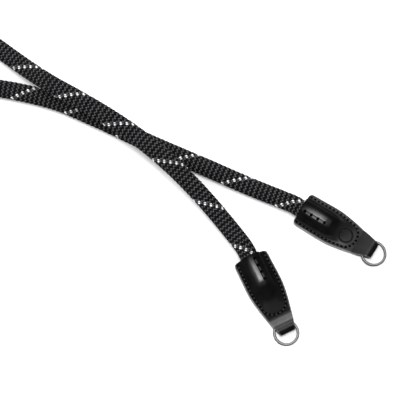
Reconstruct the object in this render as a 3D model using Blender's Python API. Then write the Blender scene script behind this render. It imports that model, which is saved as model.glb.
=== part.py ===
"""Rope camera strap: a braided rope loop with a folded leather tab and a split ring at each end.

Metres, +Z up. The strap lies on the plane z = 0, the origin is below the middle of its two
end fittings, and +X runs along the strap towards its rings.
"""

import math

import bmesh
import bpy
import numpy as np
from mathutils import Matrix, Vector

# Rope: a braid that lies slightly flattened
ROPE_WIDTH = 0.0106
ROPE_THICKNESS = 0.0078
ROPE_STEP = 0.0156
ROPE_BEVEL_RESOLUTION = 4
CURVE_STEPS = 24

# The rope's end is squeezed where it goes into the leather
SQUEEZE = 0.82
SQUEEZE_INSIDE = 0.001
SQUEEZE_OUTSIDE = 0.0035

# Leather tab
LEATHER = 0.0013
TAB_LENGTH = 0.049
TAB_WIDTH = 0.0212
BULGE_HALF_WIDTH = 0.0069
POCKET_DEPTH = 0.0163
POCKET_SIDES = 16
CLEARANCE = 0.0003
CUTTER_OVERRUN = 0.004

# The way through the fold for the ring, as shares of the tab's length, width and slot height
SLOT_STARTS = 0.765
SLOT_OPENS = 0.845
SLOT_FIRST_RISE = 0.15
SLOT_REACH = 0.7
SLOT_NOSE_ANGLES = (-60, -30, 0, 30, 60)

# Split ring
RING_OUTER_DIAMETER = 0.015
RING_WIRE_WIDTH = 0.00148
RING_WIRE_HEIGHT = 0.00092
RING_TURN_GAP = 0.00012
RING_WIRE_CORNER = 0.6
RING_STEP_ANGLE = 15
RING_JOG_ANGLE = 40
RING_JOG_AT = 150
RING_BEYOND_TIP = 0.0003
RING_ASIDE = 0.0006
RING_DROOP = 2.5
RING_DROOP_ABOUT = 0.4
RING_FREE_PLAY = 0.00032

# Where each tab lies: the middle of its mouth, and the way its tip points
TAB_PLACES = {
    "a": {"x": -0.03135, "y": -0.00730, "heading": -33.9},
    "b": {"x": -0.01975, "y": 0.03290, "heading": -1.8},
}

# The rope's way from tab a round the loop to tab b, in millimetres
ROPE_ROUTE_MM = (
    (-46.2, -0.2, 4.3),
    (-61.0, 5.4, 5.9),
    (-80.0, 11.3, 9.3),
    (-99.5, 16.2, 11.6),
    (-122.0, 20.2, 12.2),
    (-144.5, 22.1, 12.3),
    (-166.5, 22.6, 12.0),
    (-182.0, 22.8, 11.0),
    (-197.0, 24.4, 7.4),
    (-216.0, 27.0, 4.5),
    (-230.0, 28.8, 4.05),
    (-245.0, 30.4, 3.95),
    (-282.0, 32.8, 3.95),
    (-322.0, 33.0, 3.95),
    (-362.0, 31.5, 3.95),
    (-394.0, 29.0, 3.95),
    (-420.0, 26.3, 3.95),
    (-438.0, 15.8, 3.95),
    (-445.0, -3.5, 3.95),
    (-438.0, -22.8, 3.95),
    (-420.0, -33.3, 3.95),
    (-394.0, -36.0, 3.95),
    (-362.0, -34.0, 3.95),
    (-325.0, -29.5, 3.95),
    (-288.0, -21.0, 3.95),
    (-252.0, -9.6, 3.95),
    (-222.0, 2.0, 3.95),
    (-198.0, 10.8, 3.95),
    (-177.0, 16.6, 3.95),
    (-150.0, 19.8, 3.95),
    (-116.0, 22.2, 3.95),
    (-82.0, 25.8, 4.0),
    (-48.0, 29.3, 4.05),
    (-32.5, 31.4, 4.3),
)

# Sections along a tab, as shares of its length and width. bulge is the share of the full
# height over the rope's end, spread the share of its width, and rise how far the tongue
# has opened from the stitched seam to the fold that holds the ring.
TAB_SECTIONS = (
    {"along": 0.000, "width": 0.935, "bulge": 1.00, "spread": 1.00, "rise": 0.00},
    {"along": 0.030, "width": 0.965, "bulge": 1.00, "spread": 1.00, "rise": 0.00},
    {"along": 0.150, "width": 0.982, "bulge": 1.00, "spread": 1.00, "rise": 0.00},
    {"along": 0.290, "width": 0.998, "bulge": 1.00, "spread": 1.00, "rise": 0.00},
    {"along": 0.335, "width": 1.000, "bulge": 0.97, "spread": 0.98, "rise": 0.00},
    {"along": 0.370, "width": 1.000, "bulge": 0.84, "spread": 0.93, "rise": 0.00},
    {"along": 0.405, "width": 0.996, "bulge": 0.55, "spread": 0.84, "rise": 0.00},
    {"along": 0.440, "width": 0.988, "bulge": 0.24, "spread": 0.74, "rise": 0.00},
    {"along": 0.480, "width": 0.970, "bulge": 0.08, "spread": 0.70, "rise": 0.00},
    {"along": 0.600, "width": 0.885, "bulge": 0.05, "spread": 0.80, "rise": 0.00},
    {"along": 0.740, "width": 0.748, "bulge": 0.02, "spread": 0.80, "rise": 0.04},
    {"along": 0.795, "width": 0.690, "bulge": 0.00, "spread": 0.80, "rise": 0.62},
    {"along": 0.845, "width": 0.635, "bulge": 0.00, "spread": 0.80, "rise": 1.00},
    {"along": 0.900, "width": 0.560, "bulge": 0.00, "spread": 0.80, "rise": 1.00},
)
PLAIN_SPREAD = 0.80
FOLD_START_WIDTH = 0.50
FOLD_TIP_WIDTH = 0.43
FOLD_ANGLES = (0, 30, 55, 74)

# The bulge across the tab, as shares of its half width and of its height
BULGE_PROFILE = (
    {"across": 0.00, "height": 1.00},
    {"across": 0.33, "height": 0.946},
    {"across": 0.60, "height": 0.80},
    {"across": 0.80, "height": 0.56},
    {"across": 0.91, "height": 0.26},
    {"across": 1.00, "height": 0.08},
    {"across": 1.14, "height": 0.00},
)

# What follows from the sizes above
SEAM_THICKNESS = 2 * LEATHER
RING_HEIGHT = 2 * RING_WIRE_HEIGHT + RING_TURN_GAP
RING_SLOT_HEIGHT = RING_HEIGHT + 2 * RING_FREE_PLAY
FOLD_THICKNESS = 2 * LEATHER + RING_SLOT_HEIGHT
POCKET_HALF_WIDTH = SQUEEZE * ROPE_WIDTH / 2 + CLEARANCE
POCKET_HALF_HEIGHT = SQUEEZE * ROPE_THICKNESS / 2 + CLEARANCE
POCKET_AXIS_HEIGHT = LEATHER + POCKET_HALF_HEIGHT
BULGE_HEIGHT = POCKET_AXIS_HEIGHT + POCKET_HALF_HEIGHT + LEATHER - SEAM_THICKNESS
ROPE_END_DEPTH = POCKET_DEPTH - CLEARANCE


def clear_scene():
    for obj in list(bpy.data.objects):
        bpy.data.objects.remove(obj, do_unlink=True)


def make_material(name, colour, roughness, metallic):
    material = bpy.data.materials.new(name)
    material.use_nodes = True
    shader = material.node_tree.nodes["Principled BSDF"]
    shader.inputs["Base Color"].default_value = (*colour, 1.0)
    shader.inputs["Roughness"].default_value = roughness
    shader.inputs["Metallic"].default_value = metallic
    return material


def add_object(name, data, material=None):
    obj = bpy.data.objects.new(name, data)
    bpy.context.scene.collection.objects.link(obj)
    if material:
        data.materials.append(material)
    return obj


def loft(name, sections):
    """Closed mesh through loops of as many points each, with a face over each end."""
    bm = bmesh.new()
    loops = []
    for section in sections:
        verts = [bm.verts.new(point) for point in section]
        edges = [bm.edges.new((verts[i - 1], verts[i])) for i in range(len(verts))]
        loops.append((verts, edges))
    for (_, edges), (_, next_edges) in zip(loops, loops[1:]):
        bmesh.ops.bridge_loops(bm, edges=edges + next_edges)
    bm.faces.new(loops[0][0])
    bm.faces.new(loops[-1][0])
    bmesh.ops.recalc_face_normals(bm, faces=bm.faces)
    mesh = bpy.data.meshes.new(name)
    bm.to_mesh(mesh)
    bm.free()
    mesh.shade_smooth()
    mesh.set_sharp_from_angle(angle=math.radians(35))
    return mesh


def as_cutter(obj):
    obj.hide_render = True
    obj.display_type = "WIRE"
    return obj


def cut(obj, cutter):
    modifier = obj.modifiers.new(cutter.name, "BOOLEAN")
    modifier.operation = "DIFFERENCE"
    modifier.solver = "EXACT"
    modifier.object = cutter


def place_on_tab(obj, place):
    """Moves what is modelled along +X from a tab's mouth to where that tab lies."""
    obj.location = (place["x"], place["y"], 0)
    obj.rotation_euler = (0, 0, math.radians(place["heading"]))


def tab_point(place, along, height):
    """World point on a tab's axis, that far from its mouth towards its tip."""
    heading = math.radians(place["heading"])
    return (
        place["x"] + along * math.cos(heading),
        place["y"] + along * math.sin(heading),
        height,
    )


def tab_loop(along, half_width, bottom, top, bulge, spread):
    """Section of a tab: its flat underside, then its front over the rope's end."""
    bulge_half = min(BULGE_HALF_WIDTH * spread, PLAIN_SPREAD * half_width)
    front = [
        (bulge_half * row["across"], top + BULGE_HEIGHT * bulge * row["height"])
        for row in BULGE_PROFILE
    ]
    right = [(half_width, bottom), (half_width, top)] + front[:0:-1]
    left = [(-y, z) for y, z in reversed(right)]
    return [Vector((along, y, z)) for y, z in right + [front[0]] + left]


def tab_sections():
    nose = FOLD_THICKNESS / 2
    sections = [
        tab_loop(
            TAB_LENGTH * row["along"],
            TAB_WIDTH / 2 * row["width"],
            0,
            SEAM_THICKNESS + (FOLD_THICKNESS - SEAM_THICKNESS) * row["rise"],
            row["bulge"],
            row["spread"],
        )
        for row in TAB_SECTIONS
    ]
    # The fold is a half round about the ring's wire
    for angle in FOLD_ANGLES:
        turn = math.radians(angle)
        share = math.sin(turn)
        width = FOLD_START_WIDTH + (FOLD_TIP_WIDTH - FOLD_START_WIDTH) * share
        sections.append(
            tab_loop(
                TAB_LENGTH - nose + nose * share / math.sin(math.radians(FOLD_ANGLES[-1])),
                TAB_WIDTH / 2 * width,
                nose - nose * math.cos(turn),
                nose + nose * math.cos(turn),
                0,
                PLAIN_SPREAD,
            )
        )
    return sections


def pocket_mesh():
    """Oval hole for the rope's squeezed end, open at the mouth."""
    bm = bmesh.new()
    flat_share = math.cos(math.pi / POCKET_SIDES)
    bmesh.ops.create_cone(
        bm,
        cap_ends=True,
        segments=POCKET_SIDES,
        radius1=1 / flat_share,
        radius2=1 / flat_share,
        depth=POCKET_DEPTH + CUTTER_OVERRUN,
    )
    bmesh.ops.scale(bm, vec=(POCKET_HALF_HEIGHT, POCKET_HALF_WIDTH, 1), verts=bm.verts)
    bmesh.ops.rotate(bm, matrix=Matrix.Rotation(math.radians(90), 3, "Y"), verts=bm.verts)
    middle = ((POCKET_DEPTH - CUTTER_OVERRUN) / 2, 0, POCKET_AXIS_HEIGHT)
    bmesh.ops.translate(bm, vec=middle, verts=bm.verts)
    mesh = bpy.data.meshes.new("pocket")
    bm.to_mesh(mesh)
    bm.free()
    return mesh


def ring_slot_mesh():
    """Way through the fold for the ring: a wedge that opens from the seam to a round nose."""
    nose = RING_SLOT_HEIGHT / 2
    middle = FOLD_THICKNESS / 2
    nose_at = TAB_LENGTH - LEATHER - nose
    start_at = SLOT_STARTS * TAB_LENGTH
    outline = [(start_at, LEATHER), (nose_at, LEATHER)]
    for angle in SLOT_NOSE_ANGLES:
        turn = math.radians(angle)
        outline.append((nose_at + nose * math.cos(turn), middle + nose * math.sin(turn)))
    outline += [(nose_at, middle + nose), (SLOT_OPENS * TAB_LENGTH, middle + nose)]
    outline.append((start_at, LEATHER + SLOT_FIRST_RISE * RING_SLOT_HEIGHT))
    side = SLOT_REACH * TAB_WIDTH
    return loft("ring_slot", [[Vector((x, y, z)) for x, z in outline] for y in (-side, side)])


def make_tab(letter, place, material):
    tab = add_object(f"leather_tab_{letter}", loft("leather_tab", tab_sections()), material)
    cutters = (
        add_object(f"pocket_cutter_{letter}", pocket_mesh()),
        add_object(f"ring_slot_cutter_{letter}", ring_slot_mesh()),
    )
    place_on_tab(tab, place)
    for cutter in cutters:
        place_on_tab(as_cutter(cutter), place)
        cut(tab, cutter)
    return tab


def ring_sections():
    """Wire sections round two turns that lie on each other, joined by one short jog."""
    radius = (RING_OUTER_DIAMETER - RING_WIRE_WIDTH) / 2
    half_width = RING_WIRE_WIDTH / 2
    half_height = RING_WIRE_HEIGHT / 2
    turn_height = RING_WIRE_HEIGHT + RING_TURN_GAP
    first = RING_JOG_ANGLE / 2
    steps = round((720 - RING_JOG_ANGLE) / RING_STEP_ANGLE)
    corner = RING_WIRE_CORNER
    wire = (
        (1, -corner), (1, corner), (corner, 1), (-corner, 1),
        (-1, corner), (-1, -corner), (-corner, -1), (corner, -1),
    )  # fmt: skip
    sections = []
    for step in range(steps + 1):
        angle = first + (720 - RING_JOG_ANGLE) * step / steps
        jog = min(max((angle - 360) / RING_JOG_ANGLE + 0.5, 0), 1)
        level = turn_height * (jog * jog * (3 - 2 * jog) - 0.5)
        turn = math.radians(angle + RING_JOG_AT)
        sections.append(
            [
                Vector(
                    (
                        (radius + half_width * out) * math.cos(turn),
                        (radius + half_width * out) * math.sin(turn),
                        level + half_height * up,
                    )
                )
                for out, up in wire
            ]
        )
    return sections


def make_ring(letter, place, material):
    ring = add_object(f"ring_{letter}", loft("split_ring", ring_sections()), material)
    heading = math.radians(place["heading"])
    x, y, _ = tab_point(place, TAB_LENGTH + RING_BEYOND_TIP, 0)
    # The ring lies in the slot's middle where it leaves the leather, and droops outwards
    exit_to_centre = RING_DROOP_ABOUT * RING_OUTER_DIAMETER / 2
    height = FOLD_THICKNESS / 2 - exit_to_centre * math.tan(math.radians(RING_DROOP))
    ring.location = (
        x + RING_ASIDE * math.sin(heading),
        y - RING_ASIDE * math.cos(heading),
        height,
    )
    ring.rotation_euler = (0, math.radians(RING_DROOP), heading)
    return ring


def smooth_curve(points):
    """Dense points of one smooth curve through the given points."""
    gaps = np.linalg.norm(np.diff(points, axis=0), axis=1)
    rates = np.diff(points, axis=0) / gaps[:, None]
    tangents = np.empty_like(points)
    tangents[0] = rates[0]
    tangents[-1] = rates[-1]
    before = gaps[:-1, None]
    after = gaps[1:, None]
    tangents[1:-1] = (rates[:-1] * after + rates[1:] * before) / (before + after)
    curve = []
    for i, gap in enumerate(gaps):
        for u in np.linspace(0, 1, CURVE_STEPS, endpoint=False):
            curve.append(
                (2 * u**3 - 3 * u**2 + 1) * points[i]
                + (u**3 - 2 * u**2 + u) * gap * tangents[i]
                + (3 * u**2 - 2 * u**3) * points[i + 1]
                + (u**3 - u**2) * gap * tangents[i + 1]
            )
    curve.append(points[-1])
    return np.array(curve)


def rope_points():
    """Points and thickness shares along the rope, from one tab's pocket to the other's."""
    ends = []
    for letter in ("a", "b"):
        place = TAB_PLACES[letter]
        depths = (ROPE_END_DEPTH, 0, -SQUEEZE_OUTSIDE)
        ends.append([tab_point(place, depth, POCKET_AXIS_HEIGHT) for depth in depths])
    route = [tuple(value / 1000 for value in point) for point in ROPE_ROUTE_MM]
    curve = smooth_curve(np.array(ends[0] + route + ends[1][::-1]))
    lengths = np.linalg.norm(np.diff(curve, axis=0), axis=1)
    reached = np.concatenate([[0], np.cumsum(lengths)])
    total = reached[-1]
    inside = ROPE_END_DEPTH - SQUEEZE_INSIDE
    outside = ROPE_END_DEPTH + SQUEEZE_OUTSIDE
    count = round((total - 2 * outside) / ROPE_STEP)
    free = np.linspace(outside, total - outside, count + 1)
    stations = np.concatenate([[0, inside], free, [total - inside, total]])
    points = np.column_stack([np.interp(stations, reached, curve[:, k]) for k in range(3)])
    held = (stations <= inside) | (stations >= total - inside)
    return points, np.where(held, SQUEEZE, 1.0)


def make_rope(material):
    """Round tube along the route, pressed flat by its object's height scale."""
    points, shares = rope_points()
    flatness = ROPE_THICKNESS / ROPE_WIDTH
    curve = bpy.data.curves.new("rope", "CURVE")
    curve.dimensions = "3D"
    curve.twist_mode = "Z_UP"
    curve.bevel_depth = ROPE_WIDTH / 2
    curve.bevel_resolution = ROPE_BEVEL_RESOLUTION
    curve.use_fill_caps = True
    spline = curve.splines.new("POLY")
    spline.points.add(len(points) - 1)
    for target, (x, y, z), share in zip(spline.points, points, shares):
        target.co = (x, y, z / flatness, 1)
        target.radius = share
    rope = add_object("rope", curve, material)
    rope.scale = (1, 1, flatness)
    return rope


def build():
    clear_scene()
    rope_material = make_material("braided_rope", (0.022, 0.022, 0.024), 0.75, 0.0)
    leather_material = make_material("black_leather", (0.018, 0.018, 0.019), 0.32, 0.0)
    ring_material = make_material("ring_steel", (0.42, 0.42, 0.40), 0.28, 1.0)
    make_rope(rope_material)
    for letter, place in TAB_PLACES.items():
        make_tab(letter, place, leather_material)
        make_ring(letter, place, ring_material)


build()
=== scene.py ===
import math

import bmesh
import bpy
import numpy as np
from mathutils import Matrix, Vector


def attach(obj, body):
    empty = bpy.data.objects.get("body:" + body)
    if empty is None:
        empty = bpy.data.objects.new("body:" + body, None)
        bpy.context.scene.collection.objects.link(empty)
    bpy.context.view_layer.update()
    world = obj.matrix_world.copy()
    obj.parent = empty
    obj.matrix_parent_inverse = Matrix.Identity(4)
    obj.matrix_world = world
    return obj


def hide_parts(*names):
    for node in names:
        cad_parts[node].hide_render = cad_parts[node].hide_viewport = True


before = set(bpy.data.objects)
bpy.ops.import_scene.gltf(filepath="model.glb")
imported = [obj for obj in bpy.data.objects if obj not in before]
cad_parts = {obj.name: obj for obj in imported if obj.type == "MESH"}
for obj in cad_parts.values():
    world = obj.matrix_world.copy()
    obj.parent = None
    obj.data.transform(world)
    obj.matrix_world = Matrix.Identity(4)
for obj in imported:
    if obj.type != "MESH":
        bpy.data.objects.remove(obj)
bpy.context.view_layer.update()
print("frame loaded")


# Helpers for objects and meshes

def newObject(name, data):
    obj = bpy.data.objects.new(name, data)
    bpy.context.scene.collection.objects.link(obj)
    return obj


def smoothObject(name, mesh, material):
    # an object made of the finished bmesh, shaded smooth
    data = bpy.data.meshes.new(name)
    mesh.to_mesh(data)
    mesh.free()
    data.shade_smooth()
    data.materials.append(material)
    return newObject(name, data)


def closedSection(mesh, places):
    verts = [mesh.verts.new(place) for place in places]
    edges = [mesh.edges.new((verts[i - 1], verts[i])) for i in range(len(verts))]
    return verts, edges


def skinSections(mesh, sections):
    # one closed skin through a row of sections' edges
    for section, following in zip(sections, sections[1:]):
        bmesh.ops.bridge_loops(mesh, edges=section + following)
    bmesh.ops.holes_fill(mesh, edges=sections[0] + sections[-1])
    bmesh.ops.recalc_face_normals(mesh, faces=mesh.faces)


# Helpers for lines

def eased(share):
    # from 0 to 1 with a soft start and a soft end
    share = min(max(share, 0), 1)
    return share * share * (3 - 2 * share)


def easedAll(shares):
    shares = np.clip(shares, 0, 1)
    return shares * shares * (3 - 2 * shares)


def reachedAlong(points):
    # distance from the first point to each one
    return np.concatenate([[0], np.cumsum(np.linalg.norm(np.diff(points, axis=0), axis=1))])


def columnsAt(along, stations, table):
    # each column of a table, read between its rows
    return np.column_stack([np.interp(along, stations, column) for column in table.T])


def smoothCurve(points, steps=24):
    # dense points of one smooth curve through the given ones
    gaps = np.linalg.norm(np.diff(points, axis=0), axis=1)
    rates = np.diff(points, axis=0) / gaps[:, None]
    tangents = np.empty_like(points)
    tangents[0] = rates[0]
    tangents[-1] = rates[-1]
    before = gaps[:-1, None]
    after = gaps[1:, None]
    tangents[1:-1] = (rates[:-1] * after + rates[1:] * before) / (before + after)
    curve = []
    for i, gap in enumerate(gaps):
        for u in np.linspace(0, 1, steps, endpoint=False):
            curve.append(
                (2 * u**3 - 3 * u**2 + 1) * points[i]
                + (u**3 - 2 * u**2 + u) * gap * tangents[i]
                + (3 * u**2 - 2 * u**3) * points[i + 1]
                + (u**3 - u**2) * gap * tangents[i + 1]
            )
    curve.append(points[-1])
    return np.array(curve)


# Helpers for materials

def newMaterial(name, **constants):
    material = bpy.data.materials.new(name)
    material.use_nodes = True
    shader = material.node_tree.nodes["Principled BSDF"]
    for socket, value in constants.items():
        shader.inputs[socket.replace("_", " ")].default_value = value
    return material, material.node_tree, shader


def addNode(tree, kind, **settings):
    # each setting is the value of an input or a property of the node
    node = tree.nodes.new("ShaderNode" + kind)
    for key, value in settings.items():
        socket = key.replace("_", " ")
        if socket in node.inputs:
            node.inputs[socket].default_value = value
        else:
            setattr(node, key, value)
    return node


def objectPlace(tree):
    return addNode(tree, "TexCoord").outputs["Object"]


def valueOf(tree, name):
    return addNode(tree, "Attribute", attribute_name=name).outputs["Fac"]


def noiseOf(tree, vector, scale, detail=3.0):
    node = addNode(tree, "TexNoise", Scale=scale, Detail=detail)
    tree.links.new(vector, node.inputs["Vector"])
    return node.outputs["Fac"]


def opaque(tone):
    # a grey's one number or a colour's three, as a full colour
    return (tone, tone, tone, 1) if isinstance(tone, float) else (*tone, 1)


def rampOf(tree, factor, low, high, lowAt=0.0, highAt=1.0):
    # colour between two tones, from a factor
    node = addNode(tree, "ValToRGB")
    first, last = node.color_ramp.elements
    first.position = lowAt
    last.position = highAt
    first.color = opaque(low)
    last.color = opaque(high)
    tree.links.new(factor, node.inputs["Fac"])
    return node.outputs["Color"]


def rangeOf(tree, value, low, high, start=0.0, end=1.0, blend="LINEAR"):
    # goes from low to high while the given value goes from start to end
    limits = {"From_Min": start, "From_Max": end, "To_Min": low, "To_Max": high}
    node = addNode(tree, "MapRange", interpolation_type=blend, **limits)
    tree.links.new(value, node.inputs["Value"])
    return node.outputs["Result"]


def bumpOf(tree, height, strength, distance, before=None):
    node = addNode(tree, "Bump", Strength=strength, Distance=distance)
    tree.links.new(height, node.inputs["Height"])
    if before is not None:
        tree.links.new(before, node.inputs["Normal"])
    return node.outputs["Normal"]


def mathOf(tree, operation, first, *others):
    # one number, or several joined in turn
    total = first
    for other in others or (0.0,):
        node = addNode(tree, "Math", operation=operation)
        for socket, value in zip(node.inputs, (total, other)):
            if isinstance(value, (int, float)):
                socket.default_value = value
            else:
                tree.links.new(value, socket)
        total = node.outputs[0]
    return total


# Camera, at the photograph's angle

cameraSetup = {
    "target": (-0.06545, 0.00602, 0.0),
    "elevation": 76,
    "turn": 30,
    "distance": 1.10,
    "lens": 162.6,
    "sensor": 36,
    "clipStart": 0.01,
}


def addCamera(setup):
    data = bpy.data.cameras.new("camera")
    data.lens = setup["lens"]
    data.sensor_width = setup["sensor"]
    data.clip_start = setup["clipStart"]
    camera = newObject("camera", data)
    up = math.radians(setup["elevation"])
    turn = math.radians(setup["turn"])
    back = Vector((math.sin(turn) * math.cos(up), -math.cos(turn) * math.cos(up), math.sin(up)))
    camera.location = Vector(setup["target"]) + back * setup["distance"]
    camera.rotation_euler = (math.pi / 2 - up, 0, turn)
    bpy.context.scene.camera = camera


addCamera(cameraSetup)
print("camera placed")


# End fittings: what the rope, the rings and the leather tabs share

fitting = {
    "length": 0.049,
    "foldThickness": 0.0052,
    # the middle of each tab's mouth, and the way its tip points
    "places": {
        "a": {"x": -0.03135, "y": -0.00730, "heading": -33.9},
        "b": {"x": -0.01975, "y": 0.03290, "heading": -1.8},
    },
}


def fittingMatrix(letter):
    place = fitting["places"][letter]
    turn = Matrix.Rotation(math.radians(place["heading"]), 4, "Z")
    return Matrix.Translation((place["x"], place["y"], 0)) @ turn


# Rope: a braid that runs from one tab's pocket to the other's

rope = {
    "width": 0.0106,
    "thickness": 0.0078,
    # the share of its size that the rope keeps in a pocket, and where it narrows
    "squeeze": 0.82,
    "squeezeStart": 0.0015,
    "squeezeLength": 0.0035,
    "pocketDepth": 0.016,
    "pocketHeight": 0.0047982,
    "leadOut": 0.0035,
    # how far to one side the rope lies at each mouth, and how soon it is back
    "lean": {"a": 0.0005, "b": -0.0010},
    "leanInside": 0.005,
    "leanOutside": 0.017,
    # metres between stations, and how many of them make one step of the cord's path
    "stationGap": 0.0005,
    "cordEvery": 4,
    "ovalPoints": 721,
    "coreGap": 0.0003,
    "coreStep": 0.003,
    "coreSides": 24,
    "pitch": 0.033707,
    "carriers": 12,
    "yarnRadius": 0.00041,
    "yarnFineness": 1,
    # places of a pair's yarns, in carriers, and how far they spread at a crest
    "pairAside": 0.25,
    "pairSpread": 0.07,
    # the yarn of each pair that rides high and the one that rides low: thickness and lift
    "ranks": {"high": (1.00, 0.00004), "low": (0.84, -0.00012)},
    # a yarn's mean thickness, and how much more it has on a crest
    "swell": (0.96, 0.08),
    # height of a yarn's waves, what is left of them at the rope's sides, and the lift there
    "wave": 0.00042,
    "sideWave": 0.25,
    "sideLift": 0.00026,
    "tracerTurn": 0.120,
    # how far the rope is turned about its own line, in turns, at distances along it
    "turnedAt": (0.0, 0.055, 0.090, 0.122, 0.160, 0.300, 0.785, 0.830, 0.864, 0.900),
    "turned": (-0.050, -0.045, -0.030, 0.045, 0.024, 0.0, 0.0, 0.022, 0.002, 0.022),
    "endMargin": 0.0004,
    # turns of a yarn's own twist in each of its waves
    "twists": 4.8,
    # the line that the rope lies along, from tab a's mouth round the loop to tab b's
    "route": (
        (-0.0462, -0.0002, 0.00430),
        (-0.0610, 0.0054, 0.00590),
        (-0.0800, 0.0113, 0.00930),
        (-0.0995, 0.0162, 0.01160),
        (-0.1220, 0.0202, 0.01220),
        (-0.1445, 0.0221, 0.01230),
        (-0.1665, 0.0226, 0.01200),
        (-0.1820, 0.0228, 0.01100),
        (-0.1970, 0.0244, 0.00740),
        (-0.2160, 0.0270, 0.00450),
        (-0.2300, 0.0288, 0.00405),
        (-0.2450, 0.0304, 0.00395),
        (-0.2820, 0.0328, 0.00395),
        (-0.3220, 0.0330, 0.00395),
        (-0.3620, 0.0315, 0.00395),
        (-0.3940, 0.0290, 0.00395),
        (-0.4200, 0.0263, 0.00395),
        (-0.4380, 0.0158, 0.00395),
        (-0.4450, -0.0035, 0.00395),
        (-0.4380, -0.0228, 0.00395),
        (-0.4200, -0.0333, 0.00395),
        (-0.3940, -0.0360, 0.00395),
        (-0.3620, -0.0340, 0.00395),
        (-0.3250, -0.0295, 0.00395),
        (-0.2880, -0.0210, 0.00395),
        (-0.2520, -0.0096, 0.00395),
        (-0.2220, 0.0020, 0.00395),
        (-0.1980, 0.0108, 0.00395),
        (-0.1770, 0.0166, 0.00395),
        (-0.1500, 0.0198, 0.00395),
        (-0.1160, 0.0222, 0.00395),
        (-0.0820, 0.0258, 0.00400),
        (-0.0480, 0.0293, 0.00405),
        (-0.0325, 0.0314, 0.00430),
    ),
}


def ropeLine(rope):
    ends = []
    for letter in fitting["places"]:
        matrix = fittingMatrix(letter)
        depths = (rope["pocketDepth"], 0, -rope["leadOut"])
        ends.append([tuple(matrix @ Vector((d, 0, rope["pocketHeight"]))) for d in depths])
    return smoothCurve(np.array(ends[0] + list(rope["route"]) + ends[1][::-1]))


class RopeWay:
    # places on and round the rope's centreline, by distance along it
    def __init__(self, rope):
        line = ropeLine(rope)
        reached = reachedAlong(line)
        self.length = reached[-1]
        self.stations = np.linspace(0, self.length, round(self.length / rope["stationGap"]))
        self.line = columnsAt(self.stations, reached, line)
        ahead = np.gradient(self.line, axis=0)
        ahead /= np.linalg.norm(ahead, axis=1)[:, None]
        aside = np.column_stack([-ahead[:, 1], ahead[:, 0], np.zeros(len(ahead))])
        self.aside = aside / np.linalg.norm(aside, axis=1)[:, None]
        self.up = np.cross(ahead, self.aside)
        depth = np.minimum(self.stations, self.length - self.stations)
        inside = (rope["pocketDepth"] + rope["squeezeStart"] - depth) / rope["squeezeLength"]
        self.girth = 1 - (1 - rope["squeeze"]) * easedAll(inside)
        # at each mouth the rope lies to one side
        pocket, inner, outer = rope["pocketDepth"], rope["leanInside"], rope["leanOutside"]
        lean = np.where(self.stations < self.length / 2, rope["lean"]["a"], rope["lean"]["b"])
        lean = lean * easedAll((depth - pocket + inner) / inner)
        lean = lean * easedAll((pocket + outer - depth) / outer)
        self.line = self.line + self.aside * lean[:, None]

    def at(self, along, table):
        if table.ndim == 1:
            return np.interp(along, self.stations, table)
        return columnsAt(along, self.stations, table)


way = RopeWay(rope)
print(f"rope way: {way.length:.4f} m")


class Oval:
    # the rope's section below its yarns, or a smaller one for the core
    def __init__(self, rope, smaller=0.0):
        reach = rope["wave"] + rope["yarnRadius"]
        self.halfWidth = rope["width"] / 2 - reach - smaller
        self.halfHeight = rope["thickness"] / 2 - reach - smaller
        # angle by share of the girth, from the rope's side over its top
        self.angles = np.linspace(0, 2 * math.pi, rope["ovalPoints"])
        sides = [self.halfWidth * np.cos(self.angles), self.halfHeight * np.sin(self.angles)]
        reached = reachedAlong(np.column_stack(sides))
        self.shares = reached / reached[-1]

    def surface(self, along, share, lift):
        # points on the oval round the rope's line, lifted off it
        angles = np.interp(share % 1.0, self.shares, self.angles)
        c, s = np.cos(angles), np.sin(angles)
        normal = np.column_stack([c / self.halfWidth, s / self.halfHeight])
        normal /= np.linalg.norm(normal, axis=1)[:, None]
        girth = way.at(along, way.girth)
        aside = (self.halfWidth * c + normal[:, 0] * lift) * girth
        up = (self.halfHeight * s + normal[:, 1] * lift) * girth
        centre = way.at(along, way.line)
        return centre + way.at(along, way.aside) * aside[:, None] + way.at(along, way.up) * up[:, None]


def fillingMaterial():
    # a real filling whose near-black, unreflecting tone is painted shade in the gaps between the yarns
    material, tree, shader = newMaterial("rope_filling_painted_shade", Roughness=0.9, Specular_IOR_Level=0.0)
    fibres = noiseOf(tree, objectPlace(tree), scale=5000, detail=2.0)
    colour = rampOf(tree, fibres, low=0.0006, high=0.002, lowAt=0.3, highAt=0.7)
    tree.links.new(colour, shader.inputs["Base Color"])
    return material


def makeCore(rope):
    # dark filling below the yarns, lofted through ovals; its near-black, unreflecting tone paints the shade
    # between the yarns
    oval = Oval(rope, rope["coreGap"])
    sides = rope["coreSides"]
    shares = np.arange(sides) / sides
    mesh = bmesh.new()
    sections = []
    for along in np.linspace(0, way.length, round(way.length / rope["coreStep"])):
        points = oval.surface(np.full(sides, along), shares, 0.0)
        sections.append(closedSection(mesh, points)[1])
    skinSections(mesh, sections)
    return smoothObject("rope_core", mesh, fillingMaterial())


def waveCount(rope):
    # whole waves, each over one crossing pair and under the next, that fit between the ends
    crossings = (way.length - 2 * rope["endMargin"]) * 2 * rope["carriers"] / rope["pitch"]
    return int((crossings - 2) / 2)


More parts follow.
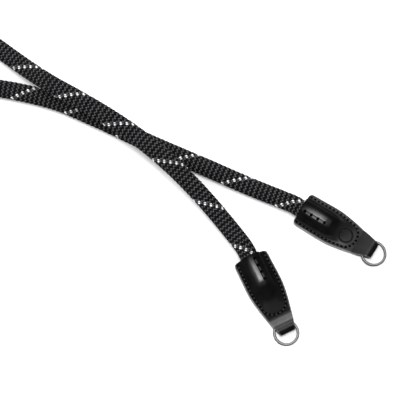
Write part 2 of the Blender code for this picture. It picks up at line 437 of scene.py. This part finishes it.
def yarnStrands(rope):
    # two families of carriers, each a pair of yarns, that pass over and under each other
    oval = Oval(rope)
    carriers = rope["carriers"]
    perMetre = 2 * carriers / rope["pitch"]
    lead = rope["tracerTurn"] * rope["pitch"]
    mean, swell = rope["swell"]
    strands = {}
    for hand, sign in (("left", -1), ("right", 1)):
        for carrier in range(carriers):
            for side in (-1, 1):
                lane = carrier + side * rope["pairAside"]
                # from the first crest on, a station at each crossing and midway between
                start = (rope["endMargin"] + lead) * perMetre + sign * lane
                crest = carrier if sign > 0 else carrier + 1
                steps = np.arange(4 * waveCount(rope) + 1) / 2
                crossing = start + (crest - start) % 2 + steps
                along = (crossing - sign * lane) / perMetre - lead
                over = np.cos(math.pi * steps)
                spread = side * rope["pairSpread"] * over
                share = (lane + spread) / carriers + sign * (along / rope["pitch"] + rope["tracerTurn"])
                share = share + np.interp(along, rope["turnedAt"], rope["turned"])
                rank = "high" if side < 0 else "low"
                kind = "tracer" if hand == "left" and carrier == 0 else hand
                girth, lift = rope["ranks"]["high" if kind == "tracer" else rank]
                # the braid lies closer along the rope's two sides
                calm = rope["sideWave"] + (1 - rope["sideWave"]) * np.abs(np.sin(2 * math.pi * share))
                heights = rope["wave"] * (over * calm + 1 - calm) + rope["sideLift"] * (1 - calm) + lift
                points = oval.surface(along, share, heights)
                strands.setdefault((kind, rank), []).append((points, girth * (mean + swell * over)))
    return strands


def keepWaves(rope, data):
    # each vertex keeps its share of the strand's length, in waves; the end caps come first in the corners
    corners = np.empty(len(data.loops), np.int32)
    data.loops.foreach_get("vertex_index", corners)
    shares = np.empty(2 * len(data.loops), np.float32)
    data.uv_layers[0].data.foreach_get("uv", shares)
    waves = np.zeros(len(data.vertices), np.float32)
    waves[corners] = shares[::2] * waveCount(rope)
    attribute = data.attributes.new("waves", "FLOAT", "POINT")
    attribute.data.foreach_set("value", waves)


def makeYarns(rope, name, strands, material):
    # round strands, swept along curves
    curve = bpy.data.curves.new(name, "CURVE")
    curve.dimensions = "3D"
    curve.bevel_depth = rope["yarnRadius"]
    curve.bevel_resolution = rope["yarnFineness"]
    curve.use_fill_caps = True
    for points, girths in strands:
        spline = curve.splines.new("POLY")
        spline.points.add(len(points) - 1)
        spline.points.foreach_set("co", np.column_stack([points, np.ones(len(points))]).ravel())
        spline.points.foreach_set("radius", girths)
        spline.use_smooth = True
    swept = newObject(name + "_curve", curve)
    graph = bpy.context.evaluated_depsgraph_get()
    data = bpy.data.meshes.new_from_object(swept.evaluated_get(graph))
    bpy.data.objects.remove(swept)
    data.name = name
    keepWaves(rope, data)
    data.materials.append(material)
    return newObject(name, data)


yarnLook = {
    # for each rank: tone in the gaps, which is painted shade, and on the crowns, roughness and shine; the
    # low yarn of each pair has a darker crown, as painted shade
    "black": {"high": (0.0006, (0.068, 0.068, 0.071), 0.5, 0.08), "low": (0.0006, 0.010, 0.5, 0.01)},
    "silver": {"high": (0.08, 0.90, 0.4, 0.2), "low": (0.08, (0.60, 0.60, 0.61), 0.4, 0.2)},
    # what makes up a spot's height, from its base to the finest fibre; the crest share paints light on the
    # crests and shade towards the troughs, the patches and fibres vary it at random
    "base": 0.2,
    "crestShare": 0.5,
    "patchShare": 0.35,
    "fibreShare": 0.25,
    "patchScale": 420,
    "fibreScale": 7000,
    # heights from which a spot is lighter and shinier, as painted light; lower spots take the gap's painted
    # shade
    "toneFrom": 0.70,
    "shineFrom": 0.65,
    "twistDepth": 0.00004,
    "fibreDepth": 0.00005,
}


def yarnMaterial(rope, look, name, colour, rank):
    # each yarn carries a count of its waves: from it the crests are painted light, the troughs and sides
    # painted shade, and the twists bumped
    gap, crown, roughness, shine = look[colour][rank]
    material, tree, shader = newMaterial(name, Roughness=roughness)
    place = objectPlace(tree)
    waves = valueOf(tree, "waves")
    over = mathOf(tree, "COSINE", mathOf(tree, "MULTIPLY", waves, 2 * math.pi))
    twists = mathOf(tree, "SINE", mathOf(tree, "MULTIPLY", waves, 2 * math.pi * rope["twists"]))
    patches = noiseOf(tree, place, look["patchScale"])
    fibres = noiseOf(tree, place, look["fibreScale"], detail=2.0)
    paintedCrestShade = mathOf(tree, "MULTIPLY", over, look["crestShare"])
    patched = mathOf(tree, "MULTIPLY", patches, look["patchShare"])
    fibrous = mathOf(tree, "MULTIPLY", fibres, look["fibreShare"])
    height = mathOf(tree, "ADD", patched, fibrous, look["base"], paintedCrestShade)
    # painted light and shade: crests take the crown's tone and gloss, troughs and sides the gap's dark tone
    # and no gloss
    tree.links.new(rampOf(tree, height, gap, crown, lowAt=look["toneFrom"]), shader.inputs["Base Color"])
    gloss = rangeOf(tree, height, 0.0, shine, start=look["shineFrom"])
    tree.links.new(gloss, shader.inputs["Specular IOR Level"])
    twisted = bumpOf(tree, twists, strength=0.4, distance=look["twistDepth"])
    rough = bumpOf(tree, fibres, strength=0.3, distance=look["fibreDepth"], before=twisted)
    tree.links.new(rough, shader.inputs["Normal"])
    return material


def makeRope(rope):
    core = makeCore(rope)
    yarns = []
    for (kind, rank), strands in yarnStrands(rope).items():
        if kind == "tracer":
            material = yarnMaterial(rope, yarnLook, f"silver_yarn_painted_shade_{rank}", "silver", rank)
        else:
            material = yarnMaterial(rope, yarnLook, f"black_yarn_{kind}_{rank}", "black", rank)
        yarns.append(makeYarns(rope, f"{kind}_yarns_{rank}", strands, material))
    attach(core, "root")
    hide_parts("rope")
    for yarn in yarns:
        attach(yarn, "root")
        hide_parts("rope")


makeRope(rope)
print("rope braided")


# Split rings: two turns of flattened wire, with the two cut ends and one short jog

ring = {
    "outerDiameter": 0.015,
    "wireWidth": 0.00148,
    "wireHeight": 0.00092,
    "turnGap": 0.00012,
    "jogAngle": 40,
    "jogAt": 150,
    "sides": 14,
    # degrees between the wire's sections
    "turnStep": 4,
    # how round the wire's shoulders are: 1 is an oval, less is squarer
    "shoulder": 0.75,
    "sharpAngle": 50,
    "beyondTip": {"a": -0.0004, "b": 0.0},
    "aside": {"a": 0.0010, "b": 0.0012},
    # how far from its centre the ring leaves the fold, as a share of its radius, and its slope
    "exitShare": 0.4,
    "droop": 2.5,
    # tones of the wire's painted shade and of its painted highlight on top, and where the painted highlight
    # begins to show
    "tones": (0.008, (0.125, 0.125, 0.122)),
    "highlightFrom": 0.92,
    "cloudShare": 0.3,
    "roughness": (0.36, 0.50),
}


def ringMatrix(ring, letter):
    exitToCentre = ring["exitShare"] * ring["outerDiameter"] / 2
    droop = math.radians(ring["droop"])
    height = fitting["foldThickness"] / 2 - exitToCentre * math.tan(droop)
    along = fitting["length"] + ring["beyondTip"][letter]
    local = Matrix.Translation((along, -ring["aside"][letter], height))
    return fittingMatrix(letter) @ local @ Matrix.Rotation(droop, 4, "Y")


def shouldered(value, power):
    return math.copysign(abs(value) ** power, value)


def makeRing(ring, letter, material):
    radius = (ring["outerDiameter"] - ring["wireWidth"]) / 2
    level = ring["wireHeight"] + ring["turnGap"]
    # the wire's section, anticlockwise from the ring's outside
    around = [2 * math.pi * side / ring["sides"] for side in range(ring["sides"])]
    outs = [ring["wireWidth"] / 2 * shouldered(math.cos(a), ring["shoulder"]) for a in around]
    ups = [ring["wireHeight"] / 2 * shouldered(math.sin(a), ring["shoulder"]) for a in around]
    sweep = 720 - ring["jogAngle"]
    steps = round(sweep / ring["turnStep"])
    mesh = bmesh.new()
    # how far each point of the wire's section faces up, which sets the painted highlight on top
    facingUp = mesh.verts.layers.float.new("facingUp")
    sections = []
    for step in range(steps + 1):
        angle = ring["jogAngle"] / 2 + sweep * step / steps
        height = level * (eased((angle - 360) / ring["jogAngle"] + 0.5) - 0.5)
        turn = math.radians(angle + ring["jogAt"])
        ahead, across = math.cos(turn), math.sin(turn)
        places = [((radius + o) * ahead, (radius + o) * across, height + u) for o, u in zip(outs, ups)]
        verts, edges = closedSection(mesh, places)
        sections.append(edges)
        for vert, a in zip(verts, around):
            vert[facingUp] = max(math.sin(a), 0)
    skinSections(mesh, sections)
    bmesh.ops.transform(mesh, matrix=ringMatrix(ring, letter), verts=mesh.verts)
    obj = smoothObject(f"split_ring_{letter}", mesh, material)
    obj.data.set_sharp_from_angle(angle=math.radians(ring["sharpAngle"]))
    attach(obj, "root")
    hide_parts(f"ring_{letter}")


def ringMaterial(ring):
    # dark nickel, with a painted highlight on top of the wire and painted shade on its sides
    material, tree, shader = newMaterial("nickelled_steel", Metallic=1.0)
    place = objectPlace(tree)
    clouds = noiseOf(tree, place, scale=900, detail=4.0)
    scratches = noiseOf(tree, place, scale=5200, detail=2.0)
    cloudy = mathOf(tree, "MULTIPLY", clouds, ring["cloudShare"])
    highlightAndClouds = mathOf(tree, "ADD", valueOf(tree, "facingUp"), cloudy)
    colour = rampOf(tree, highlightAndClouds, *ring["tones"], lowAt=ring["highlightFrom"])
    tree.links.new(colour, shader.inputs["Base Color"])
    tree.links.new(rangeOf(tree, clouds, *ring["roughness"]), shader.inputs["Roughness"])
    tree.links.new(bumpOf(tree, scratches, strength=0.1, distance=0.00002), shader.inputs["Normal"])
    return material


steel = ringMaterial(ring)
for letter in fitting["places"]:
    makeRing(ring, letter, steel)
print("rings made")


# Leather tabs: one strip folded round the ring and sewn together over the rope's end

tab = {
    "leather": 0.0013,
    "width": 0.0212,
    "cornerRadius": 0.0016,
    "bulgeHeight": 0.006996,
    "bulgeHalfWidth": 0.0069,
    # the most of the tab's half width that the bulge takes up
    "bulgeLimit": 0.8,
    "frontStep": 0.0004,
    "backStep": 0.0008,
    "foldSteps": 14,
    "across": 54,
    "slopeStep": 0.0001,
    # the two panels keep this gap where they are sewn together
    "panelGap": 0.00002,
    "edgeWidth": 0.00034,
    "edgeSteps": 3,
    "edgeAngle": 50,
    # from the mouth to the tip, as shares: along the tab, width, the bulge's height, the tongue's rise
    "sections": (
        (0.000, 0.935, 1.00, 0.00),
        (0.030, 0.965, 1.00, 0.00),
        (0.150, 0.982, 1.00, 0.00),
        (0.290, 0.998, 1.00, 0.00),
        (0.335, 1.000, 0.97, 0.00),
        (0.370, 1.000, 0.88, 0.00),
        (0.405, 0.996, 0.72, 0.00),
        (0.440, 0.988, 0.52, 0.00),
        (0.480, 0.970, 0.32, 0.00),
        (0.600, 0.885, 0.07, 0.00),
        (0.740, 0.748, 0.00, 0.03),
        (0.795, 0.690, 0.00, 0.30),
        (0.845, 0.635, 0.00, 0.58),
        (0.900, 0.560, 0.00, 0.87),
        (0.947, 0.500, 0.00, 1.00),
        (1.000, 0.430, 0.00, 1.00),
    ),
    # the bulge from its crest to its foot, as shares of its half width and its height
    "profile": (
        (0.00, 1.00),
        (0.33, 0.972),
        (0.50, 0.915),
        (0.65, 0.80),
        (0.80, 0.57),
        (0.91, 0.33),
        (1.00, 0.16),
        (1.10, 0.05),
        (1.22, 0.00),
    ),
}


class TabShape:
    # widths and heights of a tab, with x from its mouth to its tip and y from its middle
    def __init__(self, tab):
        self.tab = tab
        along, *columns = np.array(tab["sections"]).T
        self.tables = {}
        for key, column in zip(("width", "bulge", "rise"), columns):
            self.tables[key] = smoothCurve(np.column_stack([along, column])).T
        profile = np.array(tab["profile"])
        self.profile = smoothCurve(np.concatenate([profile[:0:-1] * (-1, 1), profile])).T

    def read(self, key, x):
        return float(np.interp(x / fitting["length"], *self.tables[key]))

    def halfWidth(self, x):
        half = self.tab["width"] / 2 * self.read("width", x)
        radius = self.tab["cornerRadius"]
        if x < radius:
            half -= radius - math.sqrt(max(radius**2 - (radius - x) ** 2, 0))
        return half

    def bulgeShare(self, x, y):
        limit = self.tab["bulgeLimit"] * self.tab["width"] / 2 * self.read("width", x)
        half = min(self.tab["bulgeHalfWidth"], limit)
        return self.read("bulge", x) * float(np.interp(abs(y) / half, *self.profile))

    def frontTop(self, x, y):
        # height of the front's outer face
        seam = 2 * self.tab["leather"]
        top = seam + (fitting["foldThickness"] - seam) * self.read("rise", x)
        return top + self.tab["bulgeHeight"] * self.bulgeShare(x, y)

    def slopes(self, x, y):
        step = self.tab["slopeStep"]
        slopeX = (self.frontTop(x + step, y) - self.frontTop(x - step, y)) / (2 * step)
        slopeY = (self.frontTop(x, y + step) - self.frontTop(x, y - step)) / (2 * step)
        return slopeX, slopeY

    def normal(self, x, y):
        slopeX, slopeY = self.slopes(x, y)
        return Vector((-slopeX, -slopeY, 1)).normalized()


shape = TabShape(tab)


def stripStations(tab):
    # along the strip: the back from the mouth, the fold, and the front to the mouth again
    bend = fitting["length"] - fitting["foldThickness"] / 2
    first = [("back", x) for x in np.linspace(0, bend, round(bend / tab["backStep"]) + 1)]
    turn = [("fold", a) for a in np.linspace(-90, 90, tab["foldSteps"] + 1)[1:-1]]
    last = [("front", x) for x in np.linspace(bend, 0, round(bend / tab["frontStep"]) + 1)]
    return first + turn + last


def stripPoint(tab, station, v):
    # a point of the strip's middle layer
    kind, value = station
    half = tab["leather"] / 2
    nose = fitting["foldThickness"] / 2
    bend = fitting["length"] - nose
    if kind == "back":
        return Vector((value, v * shape.halfWidth(value), half))
    if kind == "fold":
        turn = math.radians(value)
        x = bend + (nose - half) * math.cos(turn)
        width = shape.halfWidth(bend + nose * math.cos(turn))
        return Vector((x, v * width, nose + (nose - half) * math.sin(turn)))
    y = v * shape.halfWidth(value)
    return Vector((value, y, shape.frontTop(value, y))) - shape.normal(value, y) * half


# Seams: a row of holes and thread round each tab, a short row on its bulge, a plain pressed ring on tab b

seam = {
    "inset": 0.0019,
    "start": 0.0017,
    "sideEnd": 0.0305,
    "apex": 0.0366,
    "pitch": 0.0025,
    "rowStart": 0.0031,
    "rowPitch": 0.00437,
    "rowHoles": 4,
    "rowAside": {"a": 0.0014, "b": -0.0020},
    # length, width and height of a stitch
    "thread": (0.0014, 0.00058, 0.00050),
    "rowThread": (0.0032, 0.00050, 0.00044),
    "sunk": 0.00008,
    "backShown": 0.00007,
    "markAt": (0.0301, -0.0006),
    "markRadius": 0.0039,
    "markHalf": 0.00058,
    # radius of a hole, and the shares of it where its wall starts and ends
    "holeShape": (0.00066, 0.70, 1.25),
    "rowHoleShape": (0.00086, 0.75, 1.25),
    "grooveHalf": 0.0008,
    "rowGrooveHalf": 0.00104,
    # depths of grooves and mark beside a hole's depth of 1, and that depth itself
    "grooveDepth": 0.5,
    "rowGrooveDepth": 0.7,
    "markDepth": 1.5,
    "holeDepth": 0.00035,
    # points along one side, round half the arc and along the whole seam
    "sidePoints": 120,
    "arcPoints": 60,
    "stations": 900,
}


def seamLine(seam):
    # up one side, round the arc before the tongue and down the other side
    places = np.linspace(seam["start"], seam["sideEnd"], seam["sidePoints"])
    side = [(x, shape.halfWidth(x) - seam["inset"]) for x in places]
    reach = seam["apex"] - seam["sideEnd"]
    turns = np.linspace(0, math.pi / 2, seam["arcPoints"])[1:]
    half = side + [(seam["sideEnd"] + reach * math.sin(t), side[-1][1] * math.cos(t)) for t in turns]
    return np.array(half + [(x, -y) for x, y in half[-2::-1]])


class SeamWay:
    # places along the seam, by distance from its start
    def __init__(self, seam):
        line = seamLine(seam)
        reached = reachedAlong(line)
        self.stations = np.linspace(0, reached[-1], seam["stations"])
        self.line = columnsAt(self.stations, reached, line)
        ahead = np.gradient(self.line, axis=0)
        self.ahead = ahead / np.linalg.norm(ahead, axis=1)[:, None]
        self.stitches = round(reached[-1] / seam["pitch"])
        self.step = reached[-1] / self.stitches

    def at(self, along):
        k = int(round(along / self.stations[-1] * (len(self.stations) - 1)))
        return self.line[k], self.ahead[k]

    def measure(self, x, y):
        # distance along the seam and aside from it
        away = np.array([x, y]) - self.line
        k = int(np.argmin((away**2).sum(axis=1)))
        ahead = self.ahead[k]
        along = self.stations[k] + float(away[k] @ ahead)
        return along, float(ahead[0] * away[k][1] - ahead[1] * away[k][0])


seamWay = SeamWay(seam)


def frontFrame(x, y, ahead):
    # a place on the front's outer face: turned along the seam and square to the leather
    slopeX, slopeY = shape.slopes(x, y)
    normal = shape.normal(x, y)
    along = Vector((ahead[0], ahead[1], ahead[0] * slopeX + ahead[1] * slopeY)).normalized()
    axes = Matrix((along, normal.cross(along), normal)).transposed().to_4x4()
    return Matrix.Translation((x, y, shape.frontTop(x, y))) @ axes


def addStitch(mesh, place, size, matrix):
    scaled = matrix @ place @ Matrix.Diagonal((*size, 1))
    bmesh.ops.create_uvsphere(mesh, u_segments=8, v_segments=6, radius=0.5, matrix=scaled)


def makeStitches(seam, letter, material):
    matrix = fittingMatrix(letter)
    sink = Matrix.Translation((0, 0, -seam["sunk"]))
    mesh = bmesh.new()
    for k in range(seamWay.stitches):
        spot, ahead = seamWay.at((k + 0.5) * seamWay.step)
        addStitch(mesh, frontFrame(*spot, ahead) @ sink, seam["thread"], matrix)
        turn = Matrix.Rotation(math.atan2(ahead[1], ahead[0]), 4, "Z")
        below = Matrix.Translation((*spot, seam["thread"][2] / 2 - seam["backShown"]))
        addStitch(mesh, below @ turn, seam["thread"], matrix)
    for k in range(seam["rowHoles"] - 1):
        x = seam["rowStart"] + (k + 0.5) * seam["rowPitch"]
        place = frontFrame(x, seam["rowAside"][letter], (1, 0)) @ sink
        addStitch(mesh, place, seam["rowThread"], matrix)
    obj = smoothObject(f"tab_stitches_{letter}", mesh, material)
    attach(obj, "root")
    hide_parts(f"leather_tab_{letter}")


def threadMaterial():
    material, tree, shader = newMaterial("waxed_thread", Roughness=0.5, Specular_IOR_Level=0.12)
    fibres = noiseOf(tree, objectPlace(tree), scale=6000, detail=2.0)
    colour = rampOf(tree, fibres, low=0.015, high=0.055, lowAt=0.3, highAt=0.7)
    tree.links.new(colour, shader.inputs["Base Color"])
    tree.links.new(bumpOf(tree, fibres, strength=0.4, distance=0.00006), shader.inputs["Normal"])
    return material


# Where the leather's gloss paints highlights and shade: polished edges, painted highlights on the crest and
# the tongue, painted shade as dullness on the flanks and the fold

polishAndPaintedGloss = {
    # each tab's plain gloss, raised on b and lowered on a, as a painted sheen
    "sheen": {"a": -0.14, "b": 0.45},
    # where the tongue's painted highlight starts, is full, fades and ends, as shares of the tab's length
    "tongue": (0.76, 0.82, 0.92, 0.96),
    "tongueShine": {"a": 1.0, "b": 0.6},
    # edges polished, with a painted highlight along them
    "rimWidth": 0.0008,
    "rimShine": 2.6,
    # the painted highlight on the bulge's crest: its place and width across the tab, and its length
    "crestAside": {"a": -0.0011, "b": -0.0006},
    "crestShine": {"a": 2.7, "b": 2.3},
    "crestHalf": 0.0031,
    "crestEdge": 0.0022,
    "crestRise": 0.011,
    "crestEnd": 0.0205,
    "crestFall": 0.006,
    # shares of the bulge's height between which its crest and its flanks begin
    "crestShares": (0.72, 0.90),
    "flankShares": (0.10, 0.40),
    # shares of the tab's length between which the fold's painted shade, a dull gloss, begins
    "foldStart": (0.93, 0.97),
    "dull": 0.2,
}


def shineAt(polishAndPaintedGloss, station, x, y, letter):
    # painted highlights on the bulge's crest and on the tongue, polish along the edges; painted shade as
    # dullness on the bulge's flanks and the fold
    share = x / fitting["length"]
    rise, flat, fall, end = polishAndPaintedGloss["tongue"]
    tongue = min(max((share - rise) / (flat - rise), 0), 1, max((end - share) / (end - fall), 0))
    tongue *= polishAndPaintedGloss["tongueShine"][letter]
    rim = polishAndPaintedGloss["rimShine"] * max(1 - (shape.halfWidth(x) - abs(y)) / polishAndPaintedGloss["rimWidth"], 0)
    bulge = shape.bulgeShare(x, y) if station[0] == "front" else 0
    low, high = polishAndPaintedGloss["crestShares"]
    crest = eased((bulge - low) / (high - low))
    crest *= eased((polishAndPaintedGloss["crestHalf"] - abs(y - polishAndPaintedGloss["crestAside"][letter])) / polishAndPaintedGloss["crestEdge"])
    crest *= eased(x / polishAndPaintedGloss["crestRise"])
    crest *= eased((polishAndPaintedGloss["crestEnd"] - x) / polishAndPaintedGloss["crestFall"])
    low, high = polishAndPaintedGloss["flankShares"]
    near, far = polishAndPaintedGloss["foldStart"]
    flank = eased((bulge - low) / (high - low)) * (1 - crest)
    dull = max(flank, eased((share - near) / (far - near)))
    plain = (1 - dull) * (1 - tongue)
    bright = max(tongue, rim, polishAndPaintedGloss["crestShine"][letter] * crest)
    return bright - polishAndPaintedGloss["dull"] * dull + polishAndPaintedGloss["sheen"][letter] * plain


# Further from a row or a mark than any of the tab's leather
farAway = 0.1


def leatherValues(seam, station, x, y, letter):
    # what the leather's polish, painted highlights and shade, holes and grooves are drawn from, at one place
    # of the strip
    along, aside = seamWay.measure(x, y)
    values = {"seamAlong": along, "seamAside": aside, "rowAlong": x}
    values.update({"rowAside": farAway, "rowBeyond": farAway, "markAway": farAway})
    values["shine"] = shineAt(polishAndPaintedGloss, station, x, y, letter)
    if station[0] == "front":
        rowEnd = seam["rowStart"] + (seam["rowHoles"] - 1) * seam["rowPitch"]
        values["rowAlong"] = x - seam["rowStart"]
        values["rowAside"] = y - seam["rowAside"][letter]
        values["rowBeyond"] = max(seam["rowStart"] - x, x - rowEnd, 0)
        if letter == "b":
            values["markAway"] = math.hypot(x - seam["markAt"][0], y - seam["markAt"][1])
    return values


def makeTab(tab, letter, material):
    stations = stripStations(tab)
    rows, columns = len(stations) - 1, tab["across"]
    mesh = bmesh.new()
    names = leatherValues(seam, stations[0], 0, 0, letter)
    layers = {name: mesh.verts.layers.float.new(name) for name in names}
    bmesh.ops.create_grid(mesh, x_segments=rows, y_segments=columns, size=1)
    for vert in mesh.verts:
        station = stations[round((vert.co.x + 1) / 2 * rows)]
        vert.co = stripPoint(tab, station, vert.co.y)
        for name, value in leatherValues(seam, station, vert.co.x, vert.co.y, letter).items():
            vert[layers[name]] = value
    bmesh.ops.recalc_face_normals(mesh, faces=mesh.faces)
    bmesh.ops.transform(mesh, matrix=fittingMatrix(letter), verts=mesh.verts)
    obj = smoothObject(f"folded_leather_{letter}", mesh, material)
    wall = obj.modifiers.new("wall", "SOLIDIFY")
    wall.thickness = tab["leather"] - tab["panelGap"]
    wall.offset = 0
    wall.use_even_offset = True
    edges = obj.modifiers.new("worn_edges", "BEVEL")
    edges.width = tab["edgeWidth"]
    edges.segments = tab["edgeSteps"]
    edges.limit_method = "ANGLE"
    edges.angle_limit = math.radians(tab["edgeAngle"])
    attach(obj, "root")
    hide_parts(f"leather_tab_{letter}")


def fadeOf(tree, distance, near, far):
    # one close by, falling to nothing at the far distance
    return rangeOf(tree, distance, 1.0, 0.0, start=near, end=far, blend="SMOOTHSTEP")


def lengthOf(tree, *parts):
    squares = [mathOf(tree, "MULTIPLY", part, part) for part in parts]
    return mathOf(tree, "SQRT", mathOf(tree, "ADD", *squares))


def pressedShapes(tree, seam):
    # depth of grooves and holes, and the holes alone, which are painted as shade
    seamAside = valueOf(tree, "seamAside")
    rowAside, rowBeyond = valueOf(tree, "rowAside"), valueOf(tree, "rowBeyond")
    seamNear = mathOf(tree, "PINGPONG", valueOf(tree, "seamAlong"), seamWay.step / 2)
    rowNear = mathOf(tree, "PINGPONG", valueOf(tree, "rowAlong"), seam["rowPitch"] / 2)
    radius, inner, outer = seam["holeShape"]
    seamHoles = fadeOf(tree, lengthOf(tree, seamNear, seamAside), radius * inner, radius * outer)
    radius, inner, outer = seam["rowHoleShape"]
    rowHoles = fadeOf(tree, lengthOf(tree, rowNear, rowAside, rowBeyond), radius * inner, radius * outer)
    seamGroove = fadeOf(tree, mathOf(tree, "ABSOLUTE", seamAside), 0.0, seam["grooveHalf"])
    rowGroove = fadeOf(tree, lengthOf(tree, rowAside, rowBeyond), 0.0, seam["rowGrooveHalf"])
    markOff = mathOf(tree, "SUBTRACT", valueOf(tree, "markAway"), seam["markRadius"])
    mark = fadeOf(tree, mathOf(tree, "ABSOLUTE", markOff), 0.0, seam["markHalf"])
    holes = mathOf(tree, "MAXIMUM", seamHoles, rowHoles)
    seamDepth = mathOf(tree, "MULTIPLY", seamGroove, seam["grooveDepth"])
    rowDepth = mathOf(tree, "MULTIPLY", rowGroove, seam["rowGrooveDepth"])
    markDepth = mathOf(tree, "MULTIPLY", mark, seam["markDepth"])
    return mathOf(tree, "MAXIMUM", seamDepth, rowDepth, markDepth, holes), holes


leatherLook = {
    "tones": (0.0010, (0.0050, 0.0050, 0.0055)),
    "toneRange": (0.1, 0.7),
    "roughness": (0.22, 0.38),
    # the plain leather's gloss, what full shine adds, and the share that a groove takes away
    "gloss": 0.05,
    "shineGloss": 0.22,
    "grooveDull": 0.6,
    "cloudScale": 160,
    "grainScale": 1500,
    "grainSmoothness": 0.6,
    "grainDepth": 0.00006,
    "poreScale": 3800,
    "poreDepth": 0.00004,
}


def leatherMaterial(seam, look):
    material, tree, shader = newMaterial("black_leather")
    place = objectPlace(tree)
    clouds = noiseOf(tree, place, look["cloudScale"], detail=4.0)
    pores = noiseOf(tree, place, look["poreScale"])
    grain = addNode(
        tree, "TexVoronoi", feature="SMOOTH_F1", Scale=look["grainScale"], Smoothness=look["grainSmoothness"]
    )
    tree.links.new(place, grain.inputs["Vector"])
    pressed, holes = pressedShapes(tree, seam)
    # in the holes: painted shade, the darkest tone, no gloss and full roughness
    solid = mathOf(tree, "SUBTRACT", 1.0, holes)
    colour = rampOf(tree, mathOf(tree, "MULTIPLY", clouds, solid), *look["tones"], *look["toneRange"])
    tree.links.new(colour, shader.inputs["Base Color"])
    rough = rangeOf(tree, clouds, *look["roughness"])
    tree.links.new(mathOf(tree, "MAXIMUM", rough, holes), shader.inputs["Roughness"])
    # the shine attribute's painted highlights and shade set the gloss
    shine = mathOf(tree, "MULTIPLY", valueOf(tree, "shine"), look["shineGloss"])
    gloss = mathOf(tree, "ADD", shine, look["gloss"])
    dulled = mathOf(tree, "MULTIPLY", mathOf(tree, "MINIMUM", pressed, 1.0), look["grooveDull"])
    flat = mathOf(tree, "SUBTRACT", 1.0, dulled)
    polish = mathOf(tree, "MULTIPLY", solid, flat, gloss)
    tree.links.new(polish, shader.inputs["Specular IOR Level"])
    grained = bumpOf(tree, grain.outputs["Distance"], strength=0.12, distance=look["grainDepth"])
    porous = bumpOf(tree, pores, strength=0.08, distance=look["poreDepth"], before=grained)
    raised = mathOf(tree, "SUBTRACT", 1.0, pressed)
    deep = bumpOf(tree, raised, strength=0.8, distance=seam["holeDepth"], before=porous)
    tree.links.new(deep, shader.inputs["Normal"])
    return material


leather = leatherMaterial(seam, leatherLook)
thread = threadMaterial()
for letter in fitting["places"]:
    makeTab(tab, letter, leather)
    makeStitches(seam, letter, thread)
print("leather tabs folded and sewn")


# Floor and light

studio = {
    "floor": 0.93,
    "floorSize": 3,
    "floorDrop": 0.0001,
    "world": 0.65,
    "distance": 1.6,
    # direction, power and width of each soft light
    "boxes": {
        "overhead": ((-0.02, -0.02, 1.00), 17, 0.6),
        "tongue": ((-0.44, 0.60, 0.67), 14, 0.4),
        "left": ((-0.93, -0.12, 0.34), 14, 1.2),
        "right": ((0.93, 0.10, 0.35), 4, 1.1),
        "low": ((0.15, -0.95, 0.26), 4, 1.1),
        "far": ((-0.10, 0.96, 0.25), 4, 1.1),
    },
}


def addSoftbox(name, direction, power, size, distance, target):
    data = bpy.data.lights.new(name, "AREA")
    data.shape = "SQUARE"
    data.size = size
    data.energy = power
    light = newObject(name, data)
    away = Vector(direction).normalized()
    light.location = Vector(target) + away * distance
    light.rotation_euler = away.to_track_quat("Z", "Y").to_euler()


def addFloor(studio):
    mesh = bmesh.new()
    bmesh.ops.create_grid(mesh, x_segments=1, y_segments=1, size=studio["floorSize"])
    bmesh.ops.translate(mesh, vec=(0, 0, -studio["floorDrop"]), verts=mesh.verts)
    material = newMaterial("pale_floor", Roughness=0.9, Base_Color=opaque(studio["floor"]))[0]
    smoothObject("floor", mesh, material)


def lightStudio(studio):
    addFloor(studio)
    world = bpy.data.worlds.new("studio")
    world.use_nodes = True
    background = world.node_tree.nodes["Background"]
    background.inputs["Color"].default_value = (1, 1, 1, 1)
    background.inputs["Strength"].default_value = studio["world"]
    bpy.context.scene.world = world
    bpy.context.scene.view_settings.view_transform = "Standard"
    for name, (direction, power, size) in studio["boxes"].items():
        addSoftbox(name, direction, power, size, studio["distance"], cameraSetup["target"])


lightStudio(studio)
print("studio lit")
